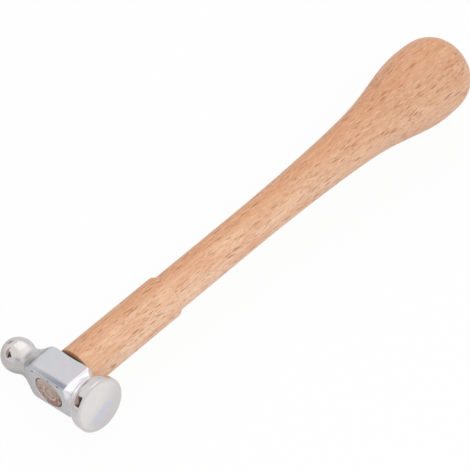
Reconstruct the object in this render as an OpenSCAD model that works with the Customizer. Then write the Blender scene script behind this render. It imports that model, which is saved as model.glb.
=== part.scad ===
// Chasing hammer: a polished steel head with a broad domed face and a ball peen,
// on a turned beech handle that swells into a bulb, held by a steel ring wedge.
// X runs along the head to the striking face, Y along the handle to the bulb,
// Z out of the upper cheek. The origin is the middle of the upper cheek. All in mm.

/* [Striking face and bell] */
// diameter of the striking face
face_d = 25.4; // [22:0.1:30]
// handle's axis to the rim of the striking face
face_reach = 24; // [21:0.1:28]
// height of the dome on the striking face
face_dome = 0.7; // [0.2:0.1:1.5]
// round on the edge of the striking face
face_edge_r = 0.35; // [0.1:0.05:0.8]
// handle's axis to the corner between the bell and its rim
bell_reach = 18.7; // [16:0.1:20]
// diameter at that corner
bell_d = 25; // [20:0.1:30]
// round over that corner
bell_round_r = 1.8; // [0.5:0.1:3]
// slope of the bell, in degrees from the head's axis
bell_slope = 50; // [30:1:70]
// radius of the hollow curve from the neck to the bell
bell_hollow_r = 4.4; // [2:0.1:8]
// diameter of the neck between the block and the bell
neck_d = 13.4; // [10:0.1:15]

/* [Ball peen] */
// diameter of the ball
ball_d = 16.1; // [12:0.1:16.2]
// handle's axis to the centre of the ball
ball_reach = 27.3; // [24:0.1:32]
// diameter of the waist behind the ball, over its rounded corners
waist_d = 13.3; // [12.4:0.1:14]
// radius of the hollow curve from the ball to the waist's corners
waist_ball_r = 6; // [3:0.5:10]
// handle's axis to where the corners start to slope out to the block
waist_end = 18; // [16:0.1:19]
// radius of the hollow curve there
waist_corner_r = 4; // [2:0.5:6]
// slope of the block's corners behind the waist, in degrees from the head's axis
corner_slope = 44; // [30:1:55]
// width of the waist over its four hollowed sides
hollow_d = 11.4; // [9:0.1:12]
// handle's axis to the narrowest place of the hollowed sides
hollow_at = 20; // [19:0.1:21]

/* [Eye block] */
// thickness across the two cheeks
block_t = 17.7; // [16.5:0.1:22]
// width from the eye end to the handle side
block_w = 16.3; // [16.2:0.1:20]
// handle's axis to the cheek's edge on the face side
cheek_face = 11.3; // [9.5:0.1:13]
// handle's axis to the cheek's edge on the ball side
cheek_ball = 10.9; // [9.5:0.1:13]
// handle's axis to the ball side's edge of the eye end and the handle side
side_ball = 12.3; // [10:0.1:14]
// leg of the 45 degree bevels on the face side of the cheeks
cheek_bevel = 2.3; // [1:0.1:3]
// leg of the 45 degree bevels on the face side of the eye end and the handle side
side_bevel = 1.25; // [0.5:0.05:2]
// length of the cut across the block's corners beside those bevels
corner_cut = 2.4; // [1:0.1:4]
// depth of that cut
corner_cut_depth = 3; // [1:0.1:4]
// width of the soft roll along the cheeks' eye-end edges
roll_w = 3.6; // [0.5:0.1:4]
// radius of that roll
roll_r = 22; // [5:0.5:30]

/* [Eye and tenon] */
// length of the oval eye along the head
eye_l = 16; // [14.5:0.1:17]
// width of the oval eye across the cheeks
eye_w = 14.4; // [10:0.1:14.4]
// gap between the tenon and the eye at each end of the oval
tenon_end_gap = 0.4; // [0.1:0.05:0.8]
// depth of the tenon's end below the eye end of the head
tenon_recess = 0.25; // [0:0.05:1]

/* [Ring wedge] */
// outside diameter of the ring at the tenon's end
ring_d = 8.3; // [6:0.1:10]
// wall of the ring at the tenon's end
ring_wall = 1.1; // [0.7:0.1:2]
// wall of the ring at its driven-in edge
ring_tip = 0.35; // [0.2:0.05:0.6]
// depth the ring is driven in
ring_depth = 9; // [5:0.5:14]
// distance of the ring from the handle's axis, towards the face
ring_offset = 0.6; // [0:0.1:2]

/* [Handle] */
// gap between the head and the handle's shoulder
shoulder_gap = 0.4; // [0.1:0.05:2]
// diameter of the thick end behind the head
thick_d = 20.9; // [19:0.1:24]
// round on the end of the thick part
thick_end_r = 1.1; // [0.2:0.1:2]
// shoulder to the start of the step in the handle
step_at = 54.1; // [30:0.1:70]
// round on the outside of the step
step_round_r = 2; // [1:0.1:4]
// hollow round at the foot of the step
step_hollow_r = 2; // [0.5:0.1:3]
// diameter of the slim part
slim_d = 18.2; // [14:0.1:18.8]
// head's axis to where the slim part starts to swell
swell_at = 110; // [80:1:130]
// head's axis to the middle of the long swelling
swell_mid_at = 165; // [150:1:175]
// diameter at the middle of the long swelling
swell_mid_d = 20.5; // [18:0.1:24]
// growth of the radius there, per mm
swell_mid_slope = 0.043; // [0.01:0.001:0.1]
// head's axis to the throat of the bulb
throat_at = 195; // [185:1:202]
// diameter at the throat of the bulb
throat_d = 24.9; // [21:0.1:28]
// growth of the radius there, per mm
throat_slope = 0.125; // [0.05:0.005:0.2]
// head's axis to the steepest place on the bulb's flank
flank_at = 213; // [208:1:220]
// diameter at the steepest place on the flank
flank_d = 32; // [28:0.1:35]
// growth of the radius there, per mm
flank_slope = 0.235; // [0.1:0.005:0.4]
// diameter of the bulb
bulb_d = 37.8; // [36:0.1:42]
// head's axis to the fattest place of the bulb
bulb_at = 232; // [226:1:245]
// fattest place of the bulb to the end of the handle
bulb_end = 24; // [18:0.5:32]
// fullness of the bulb's end: 2 is an ellipse, more is squarer
bulb_end_power = 3.35; // [2:0.05:5]

/* [Hidden] */
$fn = 96;
overlap = 0.01;
margin = 1;
half_t = block_t / 2;
half_w = block_w / 2;
shoulder_y = half_w + shoulder_gap;
step_y = shoulder_y + step_at;
tenon_end_y = tenon_recess - half_w;

// points on an arc about [cx, cy] from angle a0 to angle a1
function arc(cx, cy, r, a0, a1, n = 10) =
    [for (i = [0:n])
        let (a = a0 + (a1 - a0) * i / n)
        [cx + r * cos(a), cy + r * sin(a)]];

// smooth curve from p to q, each [place, radius, slope], without its first point
function bend(p, q, n = 12) =
    [for (i = [1:n])
        let (t = i / n, w = q[0] - p[0], s = 3 * t * t - 2 * t * t * t)
        [p[0] + w * t,
         (1 - s) * p[1] + s * q[1]
         + w * (t * (1 - t) * (1 - t) * p[2] - t * t * (1 - t) * q[2])]];

// outline of the bulb's end, from its fattest place to the tip
function bulb_cap(n = 20) =
    [for (i = [1:n])
        let (a = 90 * i / n)
        [bulb_at + bulb_end * pow(sin(a), 2 / bulb_end_power), bulb_d / 2 * cos(a)]];

// [place, radius] swapped to [radius, place] for turning
function turned(pts) = [for (p = pts) [p[1], p[0]]];

// turned solid about the head's axis from an outline of [X, radius] points
module turn_head(pts) {
    rotate([0, 90, 0])
        rotate_extrude()
            polygon(turned(pts));
}

// turned solid about the handle's axis from an outline of [Y, radius] points
module turn_handle(pts) {
    rotate([-90, 0, 0])
        rotate_extrude()
            polygon(turned(pts));
}

// turned blank behind the face: ball, waist and the slope out to the block's corners
module peen_blank() {
    ball_r = ball_d / 2;
    waist_r = waist_d / 2;
    corner_r = sqrt(half_t * half_t + half_w * half_w) + overlap;
    reach = ball_r + waist_ball_r;
    rise = waist_r + waist_ball_r;
    waist_x = -ball_reach + sqrt(reach * reach - rise * rise);
    meet = acos((waist_x + ball_reach) / reach);
    slope_x = -waist_end + waist_corner_r * sin(corner_slope);
    slope_r = waist_r + waist_corner_r * (1 - cos(corner_slope));
    end_x = cheek_face + cheek_bevel;
    turn_head(concat(
        arc(-ball_reach, 0, ball_r, 180, meet, 30),
        arc(waist_x, rise, waist_ball_r, 180 + meet, 270, 8),
        arc(-waist_end, waist_r + waist_corner_r, waist_corner_r, 270, 270 + corner_slope, 8),
        [[slope_x + (corner_r - slope_r) / tan(corner_slope), corner_r],
         [end_x - corner_cut, corner_r],
         [end_x, corner_r - corner_cut_depth],
         [end_x, 0]]
    ));
}

// half outline of a block side: hollowed between ball and cheek, bevelled at the neck
function side_outline(half, ball_edge, face_edge, bevel) =
    let (low = hollow_d / 2, ball_r = ball_d / 2,
         rise = half - low, run = hollow_at - ball_edge,
         r = (rise * rise + run * run) / (2 * rise),
         gap = ball_reach - hollow_at,
         small_r = (gap * gap + low * low - ball_r * ball_r) / (2 * (ball_r - low)),
         meet = atan(gap / (low + small_r)),
         meet_x = -hollow_at - small_r * sin(meet))
    concat(
        [[-ball_reach - ball_d, half], [meet_x, half]],
        arc(-hollow_at, low + small_r, small_r, 270 - meet, 270, 8),
        arc(-hollow_at, low + r, r, 270, 270 + asin(run / r), 14),
        [[face_edge, half], [face_edge + bevel, half - bevel]]
    );

// whole outline from its half
function mirrored(half) =
    concat(half, [for (i = [len(half) - 1:-1:0]) [half[i][0], -half[i][1]]]);

// bar of the block's section, with the cheeks rolled off at the eye end
module bar() {
    length = ball_reach + ball_d;
    start = asin(roll_w / roll_r);
    upper = arc(roll_w - half_w, half_t - roll_r, roll_r, 90, 90 + start, 6);
    lower = [for (i = [6:-1:0]) [upper[i][0], -upper[i][1]]];
    translate([-length, 0, 0])
        rotate([90, 0, 90])
            linear_extrude(length + cheek_face + cheek_bevel)
                polygon(concat([[half_w, -half_t], [half_w, half_t]], upper, lower));
}

// cheeks hollowed towards the waist and bevelled towards the neck
module cheek_cuts() {
    rotate([90, 0, 0])
        linear_extrude(block_w + 2 * margin, center = true)
            polygon(mirrored(side_outline(half_t, cheek_ball, cheek_face, cheek_bevel)));
}

// the same for the eye end and the handle side
module side_cuts() {
    face_edge = cheek_face + cheek_bevel - side_bevel;
    linear_extrude(block_t + 2 * margin, center = true)
        polygon(mirrored(side_outline(half_w, side_ball, face_edge, side_bevel)));
}

// neck, bell and domed striking face
module bell() {
    neck_r = neck_d / 2;
    bell_r = bell_d / 2;
    face_r = face_d / 2;
    slope_r = neck_r + bell_hollow_r * (1 - cos(bell_slope));
    slope_x = bell_reach - (bell_r - slope_r) / tan(bell_slope);
    hollow_x = slope_x - bell_hollow_r * sin(bell_slope);
    rim_slope = atan((face_r - bell_r) / (face_reach - bell_reach));
    turn = bell_slope - rim_slope;
    cut = bell_round_r * tan(turn / 2);
    round_x = bell_reach - cut * cos(bell_slope) + bell_round_r * sin(bell_slope);
    round_r = bell_r - cut * sin(bell_slope) - bell_round_r * cos(bell_slope);
    flat_r = face_r - face_edge_r;
    dome_r = (flat_r * flat_r + face_dome * face_dome) / (2 * face_dome);
    dome_x = face_reach + face_dome - dome_r;
    dome_a = asin(flat_r / dome_r);
    turn_head(concat(
        [[0, 0], [0, neck_r]],
        arc(hollow_x, neck_r + bell_hollow_r, bell_hollow_r, 270, 270 + bell_slope, 10),
        arc(round_x, round_r, bell_round_r, 90 + bell_slope, 90 + rim_slope, 8),
        arc(face_reach - face_edge_r, flat_r, face_edge_r, 90, 0, 5),
        arc(dome_x, 0, dome_r, dome_a, 0, 10)
    ));
}

// oval prism along the handle's axis: round ends of the oval's width, along X
module oval(l, w, y0, y1) {
    shift = (l - w) / 2;
    for (side = [-1, 1])
        translate([side * shift, y0, 0])
            rotate([-90, 0, 0])
                cylinder(d = w, h = y1 - y0);
    translate([-shift, y0, -w / 2])
        cube([2 * shift, y1 - y0, w]);
}

module head() {
    color("silver")
        translate([0, 0, -half_t])
            difference() {
                union() {
                    intersection() {
                        peen_blank();
                        bar();
                        cheek_cuts();
                        side_cuts();
                    }
                    bell();
                }
                oval(eye_l, eye_w, -half_w - margin, half_w + margin);
            }
}

// ring tapered to a thin edge at its driven-in end
module ring_body() {
    ring_r = ring_d / 2;
    bore_r = ring_r - ring_wall;
    mid = (ring_wall - ring_tip) / 2;
    translate([ring_offset, tenon_end_y, 0])
        turn_handle([[0, bore_r], [0, ring_r],
                     [ring_depth, ring_r - mid], [ring_depth, bore_r + mid]]);
}

module handle() {
    thick_r = thick_d / 2;
    slim_r = slim_d / 2;
    bulb_r = bulb_d / 2;
    turn = acos(1 - (thick_r - slim_r) / (step_round_r + step_hollow_r));
    foot_y = step_y + (step_round_r + step_hollow_r) * sin(turn);
    swell = [swell_at, slim_r, 0];
    middle = [swell_mid_at, swell_mid_d / 2, swell_mid_slope];
    throat = [throat_at, throat_d / 2, throat_slope];
    flank = [flank_at, flank_d / 2, flank_slope];
    bulb = [bulb_at, bulb_r, 0];
    color("burlywood")
        translate([0, 0, -half_t])
            difference() {
                union() {
                    turn_handle(concat(
                        [[shoulder_y, 0]],
                        arc(shoulder_y + thick_end_r, thick_r - thick_end_r, thick_end_r, 180, 90, 5),
                        arc(step_y, thick_r - step_round_r, step_round_r, 90, 90 - turn, 7),
                        arc(foot_y, slim_r + step_hollow_r, step_hollow_r, 270 - turn, 270, 6),
                        [[swell_at, slim_r]],
                        bend(swell, middle, 10),
                        bend(middle, throat, 8),
                        bend(throat, flank, 8),
                        bend(flank, bulb, 9),
                        bulb_cap()
                    ));
                    oval(eye_l - 2 * tenon_end_gap, eye_w, tenon_end_y, shoulder_y + overlap);
                }
                ring_body();
            }
}

module ring_wedge() {
    color("lightgray")
        translate([0, 0, -half_t])
            ring_body();
}

head();
handle();
ring_wedge();
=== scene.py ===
"""Looks of the chasing hammer: a polished steel head on a turned beech handle.

The frame is the CAD's, in metres: X along the head to the face, Y along the handle,
Z out of the upper cheek, whose middle is the origin. Shapes and tints here are worked out
in millimetres about the crossing of the two axes, half a block's thickness lower.
"""
import itertools
import math

import bpy
import numpy as np
from mathutils import Matrix, Vector

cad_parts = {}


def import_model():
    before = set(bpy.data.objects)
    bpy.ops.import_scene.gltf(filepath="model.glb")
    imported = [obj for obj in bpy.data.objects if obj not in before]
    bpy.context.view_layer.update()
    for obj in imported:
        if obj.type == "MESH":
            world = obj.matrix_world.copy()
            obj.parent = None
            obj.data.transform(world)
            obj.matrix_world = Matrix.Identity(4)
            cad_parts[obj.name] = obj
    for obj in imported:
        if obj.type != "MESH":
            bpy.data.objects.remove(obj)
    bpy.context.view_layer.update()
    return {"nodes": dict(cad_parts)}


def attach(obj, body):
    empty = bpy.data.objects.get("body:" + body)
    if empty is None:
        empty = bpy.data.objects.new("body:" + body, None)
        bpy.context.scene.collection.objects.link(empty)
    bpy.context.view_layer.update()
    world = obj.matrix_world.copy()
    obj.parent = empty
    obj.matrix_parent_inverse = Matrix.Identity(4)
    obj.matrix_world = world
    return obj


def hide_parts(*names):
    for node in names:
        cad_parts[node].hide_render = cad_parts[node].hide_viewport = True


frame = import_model()

# A millimetre in metres, and the millimetres in a metre
MM = 0.001
PER_METRE = 1000.0

# Block round the eye: half its thickness, half its width, and its end towards the bell
HALF_T = 8.85
HALF_W = 8.15
BLOCK_END = 13.6
# Where the bevels towards the bell leave the cheeks and the sides
BEVEL_CHEEK = 11.3
BEVEL_SIDE = 12.35
COS_45 = 0.7071
# Cone that cuts the block's corners at its end: its radius there, and its slope
CORNER_R = 9.03
CORNER_OUT = 2.4
CORNER_ALONG = 3.0
CORNER_LENGTH = 3.842
# How far from the eye, towards the ball, the cheeks and the sides start and stop swelling out of the waist
CHEEK_SWELL = (19.6, 10.5)
SIDE_SWELL = (19.2, 8.9)
# Half width of those flats at the waist, and what they gain over a short way beyond it
FLAT_HALF = 6.15
FLAT_GAIN = 0.35
FLAT_X = -23.5
FLAT_RUN = 5.0
# Shallow fall of both cheeks towards their edge away from the handle, deeper and wider towards the bell
FALL_Y = -4.2
FALL_WIDTH = 1.7
FALL_DEPTH = 0.14
FALL_GAIN = 0.24
FALL_X = -10.0
FALL_RUN = 20.0
# Round waist, its flare, the slope from it out to the block's corners, and where their blend widens
WAIST_R = 6.75
WAIST_FLARE = 0.11
WAIST_X = -22.8
WAIST_RUN = 6.0
SLOPE_R = 7.1
SLOPE_X = -16.7
SLOPE_TILT = math.radians(44)
NEAR_X = -13.0
NEAR_RUN = 5.0
# Ball peen
BALL_R = 8.0
BALL_X = -27.45
BALL_CUT = -27.5
# Bell: neck, cone, land and the domed face
NECK_R = 7.2
CONE_R = 12.5
CONE_TILT = math.radians(50)
LAND_R = 12.7
LAND_X = 18.7
LAND_FLARE = 0.2
LAND_RUN = 5.3
FACE_X = 24.7
FACE_R = 12.35
DOME_RISE = 0.7
# Where the blend between the block and the neck widens
THROAT_X = 12.6
THROAT_RUN = 2.4
# Oval eye: radius of its ends and half the way between their middles
EYE_R = 7.2
EYE_SHIFT = 0.8
# Widths of the soft corners between these forms
SOFT_SIDES = 0.8
SOFT_BEVELS = 0.7
SOFT_END = 0.6
SOFT_SLOPE = 3.0
SOFT_WAIST = 2.2
SOFT_CUT = 0.5
SOFT_BALL = 1.9
SOFT_CONE = 1.5
SOFT_NECK = 5.0
SOFT_FACE = 0.55
SOFT_THROAT = 3.2
SOFT_EYE = 0.6

# Mesh of the head: a box round it, and the width of a cell
HEAD_LOW = (-35.6, -13.1, -13.1)
HEAD_HIGH = (25.2, 13.1, 13.1)
CELL = 0.22
# Slices worked out at once, pulls of each point on to the surface, the slope's step and its least square
SLAB = 24
PULLS = 7
STEP = 0.004
LEAST_SLOPE = 0.2

# Middle of the painted shade at a cheek's end, mirrored to every side, and spots in the upper cheek's edge
WAIST_SHADE_PLACE = (13.8, 4.2, 7.4)
EDGE_SPOTS = ((-8.2, -8.1, 8.3), (1.6, -8.1, 7.9), (7.6, -8.1, 8.1))

# Directions on the domed face, the middle of its faint painted reflection, a streak, both across and along,
# and the streak's turn
FACE_COS = 0.785
FACE_SIN = 0.623
STREAK = -2.5
STREAK_TURN = 0.29

# Beech: direction of the rays, distance to the tree's heart behind the handle, and width of a year's ring
RAY_COS = 0.76
RAY_SIN = 0.65
HEART = 70.0
YEAR = 2.4
# Middle of the marks round the ring in the tenon's end
RING_X = 0.8


# Meshes
def smax(a, b, k):
    """Larger of two distances with a soft corner between them."""
    h = np.maximum(k - np.abs(a - b), 0.0) / k
    return np.maximum(a, b) + h * h * k / 4


def smin(a, b, k):
    """Smaller of two distances with a soft corner between them."""
    return -smax(-a, -b, k)


def share(x, start, run):
    """0 before start, 1 once run has been covered, and even between."""
    return np.clip((x - start) / run, 0.0, 1.0)


def ease(q):
    """A share from 0 to 1 that starts and ends gently."""
    return q * q * (3 - 2 * q)


def swell(x, half, start, end):
    """Half width of a flat that swells from the waist to its full size, and the cosine of its tilt."""
    low = FLAT_HALF + FLAT_GAIN * share(x, FLAT_X, FLAT_RUN)
    rise, run = half - low, start - end
    q = share(x, -start, run)
    tilt = rise * 6 * q * (1 - q) / run
    return low + rise * ease(q), 1 / np.sqrt(1 + tilt * tilt)


def block_field(x, y, z, r):
    """Distance to the block, its waist and the ball."""
    ay, az = np.abs(y), np.abs(z)
    slope = (r - SLOPE_R) * math.cos(SLOPE_TILT) - (x - SLOPE_X) * math.sin(SLOPE_TILT)
    flare = WAIST_FLARE * np.clip(x - WAIST_X, 0.0, WAIST_RUN)
    waist = smin(r - WAIST_R - flare, slope, SOFT_SLOPE)
    along = share(x, FALL_X, FALL_RUN)
    fall = share(FALL_Y - y, 0.0, FALL_WIDTH * (1 + along))
    drop = (FALL_DEPTH + FALL_GAIN * along) * ease(fall)
    half_z, cos_z = swell(x, HALF_T, *CHEEK_SWELL)
    half_y, cos_y = swell(x, HALF_W, *SIDE_SWELL)
    cheek = (az + drop - half_z) * cos_z
    side = (ay - half_y) * cos_y
    bevel_z = (az + x - HALF_T - BEVEL_CHEEK) * COS_45
    bevel_y = (ay + x - HALF_W - BEVEL_SIDE) * COS_45
    corner = ((r - CORNER_R) * CORNER_OUT + (x - BLOCK_END) * CORNER_ALONG) / CORNER_LENGTH
    f = smax(cheek, side, SOFT_SIDES)
    f = smax(f, smax(bevel_z, bevel_y, SOFT_BEVELS), SOFT_END)
    f = smax(f, corner, SOFT_BEVELS)
    f = smax(f, x - BLOCK_END, SOFT_END)
    near = share(NEAR_X - x, 0.0, NEAR_RUN)
    f = smax(f, waist, SOFT_SIDES + SOFT_WAIST * ease(near))
    f = smax(f, BALL_CUT - x, SOFT_CUT)
    ball = np.sqrt((x - BALL_X) ** 2 + r * r) - BALL_R
    return smin(f, ball, SOFT_BALL)


def bell_field(x, r):
    """Distance to the neck, the cone, the land and the domed face."""
    cone = (r - CONE_R) * math.cos(CONE_TILT) - (x - LAND_X) * math.sin(CONE_TILT)
    land = r - LAND_R - (x - LAND_X) * LAND_FLARE / LAND_RUN
    dome_r = (FACE_R ** 2 + DOME_RISE ** 2) / (2 * DOME_RISE)
    dome = np.sqrt((x - FACE_X + dome_r) ** 2 + r * r) - dome_r
    disc = smax(cone, land, SOFT_CONE)
    neck = smax(r - NECK_R, -x, SOFT_CUT)
    f = smin(disc, neck, SOFT_NECK)
    f = smax(f, -x, SOFT_CUT)
    return smax(f, dome, SOFT_FACE)


def head_field(x, y, z):
    """Distance to the head's surface, negative inside, in millimetres."""
    r = np.sqrt(y * y + z * z)
    throat = SOFT_CUT + SOFT_THROAT * ease(share(x, THROAT_X, THROAT_RUN))
    f = smin(block_field(x, y, z, r), bell_field(x, r), throat)
    past = np.maximum(np.abs(x) - EYE_SHIFT, 0.0)
    eye = np.sqrt(past * past + z * z) - EYE_R
    return smax(f, -eye, SOFT_EYE)


def sampled(field, low, high, pitch):
    """Corners of a grid of cells along each axis, and which of them lie inside the surface."""
    n = [int(math.ceil((b - a) / pitch)) + 1 for a, b in zip(low, high)]
    axes = [np.float32(a) + np.float32(pitch) * np.arange(m, dtype=np.float32) for a, m in zip(low, n)]
    inside = np.empty(n, bool)
    for i in range(0, n[0], SLAB):
        gx, gy, gz = np.meshgrid(axes[0][i:i + SLAB], axes[1], axes[2], indexing="ij")
        inside[i:i + SLAB] = field(gx, gy, gz) < 0
    return axes, inside


def crossed(inside):
    """Cells that the surface crosses, and a grid with the number of each."""
    cells = tuple(m - 1 for m in inside.shape)
    total = np.zeros(cells, np.uint8)
    for dx, dy, dz in itertools.product((0, 1), repeat=3):
        total += inside[dx:cells[0] + dx, dy:cells[1] + dy, dz:cells[2] + dz]
    mixed = (total > 0) & (total < 8)
    where = np.argwhere(mixed)
    index = np.full(cells, -1, np.int64)
    index[mixed] = np.arange(len(where))
    return where, index


def quads_round(inside, index):
    """A quad round each grid edge that the surface crosses, through the four cells beside it."""
    quads = []
    for axis in range(3):
        a, b = [k for k in range(3) if k != axis]
        last = inside.shape[axis] - 1
        lower = np.take(inside, range(last), axis)
        upper = np.take(inside, range(1, last + 1), axis)
        cut = np.argwhere(lower != upper)
        for k in (a, b):
            cut = cut[(cut[:, k] > 0) & (cut[:, k] < inside.shape[k] - 1)]
        here = inside[tuple(cut.T)]
        corners = []
        for da, db in ((0, 0), (1, 0), (1, 1), (0, 1)):
            c = cut.copy()
            c[:, a] -= 1 - da
            c[:, b] -= 1 - db
            corners.append(index[tuple(c.T)])
        q = np.stack(corners, 1)
        # every quad turned to face outwards
        keep = here if axis != 1 else ~here
        q[~keep] = q[~keep][:, ::-1]
        quads.append(q)
    return np.concatenate(quads).tolist()


def slopes(field, points):
    """Slope of the field at each point."""
    g = np.empty_like(points)
    for k in range(3):
        step = np.zeros(3)
        step[k] = STEP
        g[:, k] = (field(*(points + step).T) - field(*(points - step).T)) / (2 * STEP)
    return g


def surface(field, low, high, pitch, name):
    """Closed mesh of the field's zero surface, with normals from its slope."""
    axes, inside = sampled(field, low, high, pitch)
    where, index = crossed(inside)
    base = np.array([a[0] for a in axes], float)
    points = base + (where + 0.5) * pitch
    for _ in range(PULLS):
        g = slopes(field, points)
        move = field(*points.T) / np.maximum((g * g).sum(1), LEAST_SLOPE)
        points -= g * np.clip(move, -pitch, pitch)[:, None]
    normals = slopes(field, points)
    normals /= np.linalg.norm(normals, axis=1, keepdims=True)
    return mesh_from(name, points, quads_round(inside, index), normals)


def mesh_from(name, points, faces, normals=None):
    """Object from points in millimetres about the crossing of the axes."""
    place = np.array(points, float)
    place[:, 2] -= HALF_T
    data = bpy.data.meshes.new(name)
    data.from_pydata((place * MM).tolist(), [], faces)
    data.update()
    data.polygons.foreach_set("use_smooth", np.ones(len(data.polygons), bool))
    if normals is not None:
        data.normals_split_custom_set_from_vertices(normals.tolist())
    return linked(bpy.data.objects.new(name, data))


def linked(obj):
    """The object, put in the scene."""
    bpy.context.scene.collection.objects.link(obj)
    return obj


cell = CELL
head = surface(head_field, HEAD_LOW, HEAD_HIGH, cell, "polished_head")
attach(head, "root")
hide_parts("head")


# Materials
class Tree:
    """Short names for building a node tree."""

    def __init__(self, tree):
        tree.nodes.clear()
        self.t = tree

    def add(self, kind, **props):
        n = self.t.nodes.new("ShaderNode" + kind)
        for k, v in props.items():
            setattr(n, k, v)
        return n

    def link(self, a, b):
        self.t.links.new(a, b)

    def put(self, socket, value):
        if isinstance(value, bpy.types.NodeSocket):
            self.link(value, socket)
        else:
            socket.default_value = value

    def math(self, op, a, b=0.0):
        n = self.add("Math", operation=op)
        self.put(n.inputs[0], a)
        self.put(n.inputs[1], b)
        return n.outputs[0]

    def times(self, a, *others):
        for b in others:
            a = self.math("MULTIPLY", a, b)
        return a

    def plus(self, a, *others):
        for b in others:
            a = self.math("ADD", a, b)
        return a

    def minus(self, a, b):
        return self.math("SUBTRACT", a, b)

    def length(self, a, b):
        """Length of a flat vector with these two parts."""
        return self.math("SQRT", self.plus(self.times(a, a), self.times(b, b)))

    def mix(self, factor, a, b):
        n = self.add("Mix", data_type="RGBA")
        self.put(n.inputs[0], factor)
        self.put(n.inputs[6], a)
        self.put(n.inputs[7], b)
        return n.outputs[2]

    def ramp(self, value, low, high, out_low=0.0, out_high=1.0):
        """Gentle change from one number to another as a value goes from low to high."""
        n = self.add("MapRange", interpolation_type="SMOOTHSTEP")
        for s, v in zip(n.inputs, (value, low, high, out_low, out_high)):
            self.put(s, v)
        return n.outputs[0]

    def between(self, value, start, full, last, end):
        """1 from full to last, falling gently to 0 at start and at end."""
        return self.times(self.ramp(value, start, full), self.ramp(value, end, last))

    def noise(self, vector, scale, detail=2.0, rough=0.5):
        n = self.add("TexNoise")
        self.put(n.inputs["Vector"], vector)
        n.inputs["Scale"].default_value = scale
        n.inputs["Detail"].default_value = detail
        n.inputs["Roughness"].default_value = rough
        return n.outputs["Fac"]

    def split(self, vector):
        n = self.add("SeparateXYZ")
        self.link(vector, n.inputs[0])
        return n.outputs

    def join(self, *parts):
        n = self.add("CombineXYZ")
        for s, v in zip(n.inputs, parts):
            self.put(s, v)
        return n.outputs[0]

    def distance(self, vector, point):
        n = self.add("VectorMath", operation="DISTANCE")
        self.link(vector, n.inputs[0])
        n.inputs[1].default_value = point
        return n.outputs["Value"]

    def principled(self, base, rough):
        n = self.add("BsdfPrincipled")
        self.link(base, n.inputs["Base Color"])
        self.link(rough, n.inputs["Roughness"])
        return n

    def bump(self, shader, height, strength):
        """Relief on a shader, its height in millimetres."""
        n = self.add("Bump")
        n.inputs["Strength"].default_value = strength
        n.inputs["Distance"].default_value = MM
        self.link(height, n.inputs["Height"])
        self.link(n.outputs[0], shader.inputs["Normal"])

    def show(self, shader, kind="OutputMaterial"):
        out = self.add(kind)
        self.link(shader.outputs[0], out.inputs["Surface"])


def new_material(name):
    m = bpy.data.materials.new(name)
    m.use_nodes = True
    return m, Tree(m.node_tree)


def put_material(obj, m):
    obj.data.materials.clear()
    obj.data.materials.append(m)


def colour(r, g, b):
    """An sRGB colour, 0 to 255, as Blender's linear one."""
    lin = [(c / 255 / 12.92) if c <= 10 else ((c / 255 + 0.055) / 1.055) ** 2.4 for c in (r, g, b)]
    return (*lin, 1.0)


def in_mm(t):
    """Object coordinates in millimetres about the crossing of the axes, apart and together."""
    mm = t.add("VectorMath", operation="MULTIPLY_ADD")
    t.link(t.add("TexCoord").outputs["Object"], mm.inputs[0])
    mm.inputs[1].default_value = (PER_METRE, PER_METRE, PER_METRE)
    mm.inputs[2].default_value = (0, 0, HALF_T)
    return (*t.split(mm.outputs[0]), mm.outputs[0])


def worked_colour(t, place, shade, cloud, turned):
    """Steel of all the head but its face, with duller cloudy places, painted shade, painted highlights, a
    painted dark reflection and dark spots.
    """
    x, y, z, p = place
    base = t.mix(t.ramp(shade, 0.35, 0.65), colour(225, 220, 222), colour(217, 221, 225))
    base = t.mix(t.times(turned, 0.8), base, colour(224, 219, 216))
    base = t.mix(t.ramp(cloud, 0.3, 0.7, 0.0, 0.25), base, colour(204, 202, 203))
    # painted shade where both cheeks run out into the waist, on the side away from the handle
    mirrored = t.add("VectorMath", operation="ABSOLUTE")
    t.link(p, mirrored.inputs[0])
    apart = t.distance(mirrored.outputs[0], WAIST_SHADE_PLACE)
    waist_shade = t.times(t.ramp(apart, 1.4, 4.8, 1.0, 0.0), t.ramp(x, 0.0, -5.0), t.ramp(y, 3.0, -2.0))
    base = t.mix(waist_shade, base, colour(188, 182, 178))
    # painted highlights in the hollow behind the bell and on the upper bevel that leads to it
    base = t.mix(t.between(x, 12.6, 14.0, 18.0, 20.0), base, colour(243, 240, 243))
    bevel_highlight = t.times(t.between(x, 11.0, 11.8, 13.6, 14.6), t.ramp(z, 2.0, 5.0), t.ramp(y, 3.5, -2.0))
    base = t.mix(bevel_highlight, base, colour(244, 244, 248))
    # painted dark reflection in a band along the upper cheek's edge away from the handle, and dark spots in
    # that edge
    edge_reflection_band = t.times(t.between(y, -7.75, -7.45, -6.0, -4.2), t.ramp(z, 8.0, 8.4))
    edge_reflection_band = t.times(edge_reflection_band, t.ramp(x, -12.0, 8.0, 0.4, 1.0), t.ramp(x, 11.6, 10.8))
    base = t.mix(edge_reflection_band, base, colour(152, 157, 171))
    for spot in EDGE_SPOTS:
        base = t.mix(t.ramp(t.distance(p, spot), 0.3, 0.65, 0.8, 0.0), base, colour(112, 112, 118))
    return base


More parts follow.
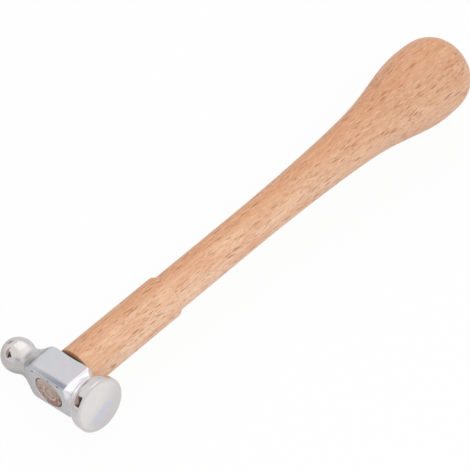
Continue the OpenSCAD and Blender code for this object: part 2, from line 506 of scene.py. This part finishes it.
def face_colour(t, y, z, shade, cloud):
    """Warm grey, paler upwards and away from the handle, with one faint bluish streak of painted reflection
    below the middle.
    """
    across = t.minus(t.times(z, FACE_COS), t.times(y, FACE_SIN))
    along = t.plus(t.times(y, FACE_COS), t.times(z, FACE_SIN))
    off = t.minus(along, STREAK)
    bent = t.plus(across, t.times(off, STREAK_TURN), t.times(t.minus(shade, 0.5), 3.0))
    far = t.math("ABSOLUTE", t.minus(bent, STREAK))
    # painted reflection: the faint bluish streak
    streak = t.times(t.ramp(far, 0.0, 4.2, 1.0, 0.0), t.ramp(t.math("ABSOLUTE", off), 3.0, 9.5, 1.0, 0.0))
    streak = t.times(streak, t.ramp(cloud, 0.3, 0.6, 0.55, 1.0))
    grey = t.mix(t.ramp(across, -8.0, 4.5), colour(222, 217, 219), colour(238, 234, 231))
    return t.mix(streak, grey, colour(214, 218, 234))


def steel_rough(t, x, cloud, turned, face):
    """Finest on the bell, then the ball, the block and the face, coarsest round the waist and in its fold."""

    def clouded(low, high):
        return t.ramp(cloud, 0.3, 0.7, low, high)

    rough = t.mix(turned, clouded(0.15, 0.22), clouded(0.05, 0.10))
    rough = t.mix(t.ramp(x, 17.5, 18.5), rough, clouded(0.03, 0.07))
    rough = t.mix(t.between(x, -24.6, -22.4, -15.5, -12.5), rough, clouded(0.24, 0.30))
    rough = t.mix(t.between(x, -23.4, -22.4, -21.0, -20.0), rough, (0.45, 0.45, 0.45, 1))
    return t.mix(face, rough, clouded(0.16, 0.22))


def steel():
    """Polished steel, finer on the ball and the bell, which were turned, than on the filed block."""
    m, t = new_material("polished_steel")
    place = in_mm(t)
    x, y, z, p = place
    turned = t.math("MAXIMUM", t.ramp(x, -17.5, -21.0), t.ramp(x, 15.5, 18.0))
    face = t.ramp(x, 24.05, 24.15)
    shade = t.noise(p, 0.16)
    cloud = t.noise(p, 0.5, 3.0, 0.6)
    base = t.mix(face, worked_colour(t, place, shade, cloud, turned), face_colour(t, y, z, shade, cloud))
    b = t.principled(base, steel_rough(t, x, cloud, turned, face))
    b.inputs["Metallic"].default_value = 1.0
    # slow waves left by forging and filing, and fine brushing, both weaker where the head was turned
    waves = t.times(t.noise(p, 0.22, 1.0, 0.4), t.ramp(turned, 0.0, 1.0, 0.06, 0.02))
    brushed = t.times(t.noise(p, 3.0, 3.0, 0.6), t.ramp(turned, 0.0, 1.0, 0.0025, 0.0008))
    t.bump(b, t.plus(waves, brushed), 1.0)
    t.show(b)
    return m


def wedge_steel():
    """Dull steel of the ring, smeared with wood dust where it was filed flush."""
    m, t = new_material("wedge_steel")
    x, _, z, p = in_mm(t)
    dust = t.noise(p, 1.4, 3.0, 0.6)
    lean = t.plus(t.times(t.minus(x, RING_X), 0.6), t.times(z, 0.8))
    smear = t.ramp(t.plus(lean, t.times(t.minus(dust, 0.5), 5.0)), -1.5, 2.5)
    base = t.mix(smear, colour(226, 208, 196), colour(186, 166, 152))
    base = t.mix(t.ramp(dust, 0.4, 0.75, 0.0, 0.5), base, colour(176, 156, 144))
    b = t.principled(base, t.ramp(dust, 0.3, 0.7, 0.3, 0.45))
    t.link(t.ramp(smear, 0.0, 1.0, 0.9, 0.35), b.inputs["Metallic"])
    t.bump(b, t.times(dust, 0.12), 0.7)
    t.show(b)
    return m


def grain(t, x, y, z):
    """Place across the rays, share of a year's ring, and a function for coordinates along the grain."""
    u = t.minus(t.times(x, RAY_COS), t.times(z, RAY_SIN))
    v = t.plus(t.times(x, RAY_SIN), t.times(z, RAY_COS), HEART)
    slow = t.join(t.times(x, 0.02), t.times(y, 0.016), t.times(z, 0.02))
    wander = t.times(t.minus(t.noise(slow, 1.0), 0.5), 9.0)
    out = t.plus(t.length(u, v), wander)
    around = t.plus(t.times(t.math("ARCTAN2", u, v), HEART), t.times(wander, 0.35))

    def follow(per_around, per_along, per_out):
        """Coordinates scaled round the tree, along it and out from its heart."""
        return t.join(t.times(around, per_around), t.times(y, per_along), t.times(out, per_out))

    return u, t.math("FRACT", t.times(out, 1 / YEAR)), follow


def flecks(t, follow, width, length, depth, part):
    """Marks of the rays in cells of this size in millimetres, filling about this part of them."""
    n = t.add("TexVoronoi", feature="F1")
    t.link(follow(1 / width, 1 / length, 1 / depth), n.inputs["Vector"])
    n.inputs["Scale"].default_value = 1.0
    pick = t.split(n.outputs["Color"])
    crowd = t.noise(follow(0.7, 0.035, 0.2), 1.0)
    chosen = t.math("LESS_THAN", pick[0], t.times(t.ramp(crowd, 0.35, 0.65, 0.25, 1.9), part))
    shape = t.ramp(n.outputs["Distance"], 0.275, 0.5, 1.0, 0.0)
    return t.times(chosen, shape, t.plus(t.times(pick[1], 0.45), 0.55))


def tenon_end(t, x, z):
    """Greyish end grain with red and pale blotches, paler inside the ring and dark beside it."""
    flat = t.join(x, 0.0, z)
    spot = t.noise(flat, 0.45, 3.0, 0.6)
    speck = t.noise(flat, 0.85)
    low = t.plus(t.times(z, -0.5), t.times(x, 0.35))
    red = t.ramp(t.plus(speck, t.times(low, 0.04)), 0.5, 0.66, 0.0, 0.85)
    end = t.mix(t.ramp(spot, 0.35, 0.65), colour(186, 162, 146), colour(164, 134, 118))
    end = t.mix(red, end, colour(146, 90, 72))
    end = t.mix(t.ramp(speck, 0.34, 0.48, 0.8, 0.0), end, colour(212, 184, 170))
    core = t.length(t.minus(x, RING_X), z)
    end = t.mix(t.ramp(core, 3.4, 2.6, 0.0, 0.65), end, colour(204, 184, 174))
    end = t.mix(t.times(t.between(core, 1.9, 2.4, 3.7, 4.6), 0.6), end, colour(130, 92, 76))
    high = t.plus(t.times(z, 0.12), t.minus(spot, 0.5))
    return t.mix(t.ramp(high, 0.1, 0.5, 0.0, 0.6), end, colour(206, 188, 178))


def beech():
    """Beech whose grain runs along the handle, with the flecks of its rays."""
    m, t = new_material("beech")
    x, y, z, _ = in_mm(t)
    u, year, follow = grain(t, x, y, z)
    bold = flecks(t, follow, 0.41, 5.4, 2.6, 0.15)
    faint = flecks(t, follow, 0.38, 3.0, 1.8, 0.28)
    tone = t.noise(follow(0.12, 0.014, 0.10), 1.0, 2.0, 0.55)
    warm = t.noise(follow(0.22, 0.03, 0.16), 1.0)
    fibre = t.noise(follow(3.4, 0.26, 1.8), 1.0, 2.0, 0.6)
    streak = t.noise(follow(1.0, 0.03, 0.7), 1.0, 3.0, 0.6)
    # painted light and shade: paler towards the lit flank, redder and darker towards the shaded one; and
    # darker towards the bulb
    flank = t.math("DIVIDE", u, t.length(x, z))
    base = t.mix(t.ramp(tone, 0.3, 0.7), colour(230, 181, 145), colour(238, 194, 160))
    base = t.mix(t.ramp(y, 90, 215, 0.0, 0.9), base, colour(214, 161, 124))
    lit_flank = t.times(t.ramp(flank, -0.1, 0.8, 0.0, 0.85), t.ramp(y, 95, 225, 1.0, 0.5))
    base = t.mix(lit_flank, base, colour(241, 204, 175))
    base = t.mix(t.ramp(flank, -0.15, -0.6, 0.0, 0.8), base, colour(218, 155, 113))
    # red patches, then dark and pale streaks, dark and pale fibres, late wood and both kinds of flecks
    base = t.mix(t.ramp(warm, 0.46, 0.68, 0.0, 0.5), base, colour(220, 154, 115))
    base = t.mix(t.ramp(streak, 0.5, 0.68, 0.0, 0.3), base, colour(206, 144, 102))
    base = t.mix(t.ramp(streak, 0.36, 0.5, 0.25, 0.0), base, colour(246, 210, 180))
    base = t.mix(t.ramp(fibre, 0.45, 0.68, 0.0, 0.5), base, colour(204, 146, 104))
    base = t.mix(t.ramp(fibre, 0.3, 0.45, 0.4, 0.0), base, colour(246, 208, 172))
    base = t.mix(t.times(t.between(year, 0.55, 0.97, 0.985, 1.0), 0.08), base, colour(196, 138, 100))
    base = t.mix(t.times(faint, 0.7), base, colour(182, 120, 80))
    base = t.mix(bold, base, colour(150, 92, 56))
    # shoulder behind the head, its darker end grain with painted shade from the gap under the head, and the
    # end of the tenon
    base = t.mix(t.ramp(y, 8.9, 9.4, 0.85, 0.0), base, colour(140, 96, 72))
    base = t.mix(t.ramp(y, -4.0, -3.0, 1.0, 0.0), base, tenon_end(t, x, z))
    b = t.principled(base, t.ramp(fibre, 0.3, 0.7, 0.42, 0.54))
    b.inputs["Specular IOR Level"].default_value = 0.6
    b.inputs["Sheen Weight"].default_value = 0.18
    b.inputs["Sheen Roughness"].default_value = 0.25
    t.bump(b, t.minus(t.times(fibre, 0.02), t.times(bold, 0.05)), 0.6)
    t.show(b)
    return m


put_material(head, steel())
put_material(frame["nodes"]["handle"], beech())
put_material(frame["nodes"]["ring_wedge"], wedge_steel())

# Lowest places of the face's rim, the ball and the bulb, the gap left under them, and half the floor's width
REST_RIM = (24.0, 0.0, -12.7)
REST_BALL = (-27.3, 0.0, -8.05)
REST_BULB = (0.0, 232.0, -18.9)
FLOOR_GAP = 0.35
FLOOR_HALF = 4000.0

# Brighter and darker places of the surroundings: direction, degrees of the core and of the fade, tint
LOBES = (
    ((0.0, 0.5, 0.866), 8, 34, (1.34, 1.31, 1.29, 1)),
    ((0.71, 0.39, 0.60), 7, 10, (1.56, 1.58, 1.64, 1)),
    ((-0.33, 0.17, 0.93), 2, 11, (1.24, 1.22, 1.22, 1)),
    ((-0.895, 0.255, 0.365), 3, 12, (0.40, 0.40, 0.43, 1)),
    ((-0.598, 0.393, 0.699), 3, 9, (0.84, 0.85, 0.88, 1)),
)
WHITE = (1, 1, 1, 1)

# Cards beside the hammer: their place along X, their tints and their outlines along Y and Z in millimetres
CARD_X = -97
CARD_AGAIN = (0.55, 0.54, 0.54, 1)
BROWN = (0.50, 0.375, 0.335, 1)
BROWN_OUTLINES = [
    [(-50, 46), (-36, 68), (-22, 98), (-28, 108), (-52, 92), (-92, 112), (-96, 121), (-99, 116),
     (-108, 103), (-121, 92), (-138, 70), (-146, 48), (-150, 22), (-115, 22), (-80, 26)],
]
BLACK = (0.045, 0.042, 0.046, 1)
BLACK_OUTLINES = [
    [(-138, 70), (-121, 92), (-108, 103), (-99, 116), (-96, 121), (-104, 146), (-150, 170), (-160, 85)],
    [(-150, 170), (-230, 215), (-470, 290), (-470, 180), (-340, 130), (-160, 85)],
    [(-138, 70), (-160, 85), (-260, 110), (-220, 55), (-165, 26), (-150, 22), (-146, 48)],
]

# Camera fitted to the photograph: its rotation, its place in metres and its focal length in pixels
CAMERA_ROWS = (
    (0.7097665, -0.3991722, 0.5804249),
    (0.6884291, 0.5677084, -0.4514117),
    (-0.1493211, 0.7199783, 0.6777422),
)
CAMERA_PLACE = (0.9024512, -0.5933070, 1.0469222)
FOCAL_PIXELS = 3508.5
PHOTO_PIXELS = 470
SENSOR = 36.0
CLIP_END = 20.0

# Place that both lamps are aimed at, and the width of each, in metres
LAMP_AIM = (0, 0.09, 0)
LAMP_SIZE = 1.0


# Floor, light and camera
def floor():
    """Plane that the face's rim, the ball and the bulb rest on."""
    rim, ball, bulb = [Vector((x, y, z - HALF_T)) for x, y, z in (REST_RIM, REST_BALL, REST_BULB)]
    n = (ball - rim).cross(bulb - rim).normalized()
    if n.z < 0:
        n = -n
    centre = rim - n * FLOOR_GAP
    side = Vector((1, 0, 0)) - n * n.x
    side.normalize()
    ahead = n.cross(side)
    corners = [centre + (side * a + ahead * b) * FLOOR_HALF for a, b in ((-1, -1), (1, -1), (1, 1), (-1, 1))]
    data = bpy.data.meshes.new("floor")
    data.from_pydata([tuple(p * MM) for p in corners], [], [(0, 1, 2, 3)])
    obj = linked(bpy.data.objects.new("floor", data))
    m, t = new_material("pale_floor")
    path = t.add("LightPath")
    glossy = path.outputs["Is Glossy Ray"]
    d = t.add("BsdfDiffuse")
    t.link(t.mix(glossy, (0.86, 0.86, 0.86, 1), (0.66, 0.655, 0.655, 1)), d.inputs["Color"])
    e = t.add("Emission")
    e.inputs["Color"].default_value = WHITE
    e.inputs["Strength"].default_value = 1.0
    # almost white to the camera; in mirrors a darker floor that glows paler with painted light under the
    # face, under the handle and away from it
    x, y, _ = t.split(t.add("TexCoord").outputs["Object"])
    lit = t.math("MAXIMUM", t.ramp(x, -0.06, 0.05, 0.04, 0.66), t.ramp(y, -0.03, -0.30, 0.0, 0.8))
    lit = t.math("MAXIMUM", lit, t.ramp(t.plus(y, t.times(x, 0.36)), 0.0, 0.04, 0.0, 0.6))
    mix = t.add("MixShader")
    t.link(t.plus(t.times(path.outputs["Is Camera Ray"], 0.95), t.times(glossy, lit)), mix.inputs[0])
    t.link(d.outputs[0], mix.inputs[1])
    t.link(e.outputs[0], mix.inputs[2])
    t.show(mix)
    put_material(obj, m)


def world():
    """Pale surroundings with soft brighter and darker places, which the steel mirrors."""
    w = bpy.data.worlds.new("studio")
    bpy.context.scene.world = w
    w.use_nodes = True
    t = Tree(w.node_tree)
    path = t.add("LightPath")
    camera_ray = path.outputs["Is Camera Ray"]
    way = t.add("TexCoord").outputs["Generated"]
    unit = t.add("VectorMath", operation="NORMALIZE")
    t.link(way, unit.inputs[0])

    def lobe(direction, core, fade):
        """1 inside a cone round a direction, fading to 0 outside it."""
        d = t.add("VectorMath", operation="DOT_PRODUCT")
        t.link(unit.outputs[0], d.inputs[0])
        d.inputs[1].default_value = Vector(direction).normalized()
        return t.ramp(d.outputs["Value"], math.cos(math.radians(core + fade)), math.cos(math.radians(core)))

    up = t.split(way)[2]
    sky = t.mix(t.ramp(up, 0.1, 0.75), (0.76, 0.76, 0.775, 1), (0.93, 0.915, 0.905, 1))
    for direction, core, fade, tint in LOBES:
        sky = t.mix(lobe(direction, core, fade), sky, tint)
    seen = t.mix(camera_ray, sky, WHITE)
    direct = t.math("MAXIMUM", camera_ray, path.outputs["Is Glossy Ray"])
    bg = t.add("Background")
    t.link(t.mix(direct, (0.66, 0.66, 0.66, 1), seen), bg.inputs["Color"])
    bg.inputs["Strength"].default_value = 1.0
    t.show(bg, "OutputWorld")


def card(name, tint, outlines):
    """Card beside the hammer that only reflections show."""
    points = [(CARD_X, y, z) for outline in outlines for y, z in outline]
    faces = []
    start = 0
    for outline in outlines:
        faces.append(list(range(start, start + len(outline))))
        start += len(outline)
    obj = mesh_from(name, points, faces)
    m, t = new_material(name)
    e = t.add("Emission")
    # plain grey where one mirror shows it in another
    again = t.math("GREATER_THAN", t.add("LightPath").outputs["Ray Depth"], 1.5)
    t.link(t.mix(again, tint, CARD_AGAIN), e.inputs["Color"])
    t.show(e)
    put_material(obj, m)
    for ray in ("camera", "diffuse", "transmission", "volume_scatter", "shadow"):
        setattr(obj, "visible_" + ray, False)


def lamp(name, place, power):
    """Square lamp aimed at the hammer, which the steel doesn't mirror."""
    data = bpy.data.lights.new(name, "AREA")
    data.shape = "SQUARE"
    data.size = LAMP_SIZE
    data.energy = power
    obj = linked(bpy.data.objects.new(name, data))
    obj.location = place
    obj.rotation_euler = (Vector(LAMP_AIM) - Vector(place)).to_track_quat("-Z", "Y").to_euler()
    obj.visible_glossy = False


def camera():
    data = bpy.data.cameras.new("camera")
    data.sensor_width = SENSOR
    data.sensor_fit = "HORIZONTAL"
    data.lens = FOCAL_PIXELS / PHOTO_PIXELS * SENSOR
    data.clip_end = CLIP_END
    obj = linked(bpy.data.objects.new("camera", data))
    pose = Matrix(CAMERA_ROWS).to_4x4()
    pose.translation = Vector(CAMERA_PLACE)
    obj.matrix_world = pose
    bpy.context.scene.camera = obj


floor()
world()
card("card_brown", BROWN, BROWN_OUTLINES)
card("card_black", BLACK, BLACK_OUTLINES)
lamp("key", (1.2, -0.1, 1.1), 9.5)
lamp("fill", (-0.9, 1.0, 0.9), 5.5)
camera()
bpy.context.scene.view_settings.view_transform = "Standard"
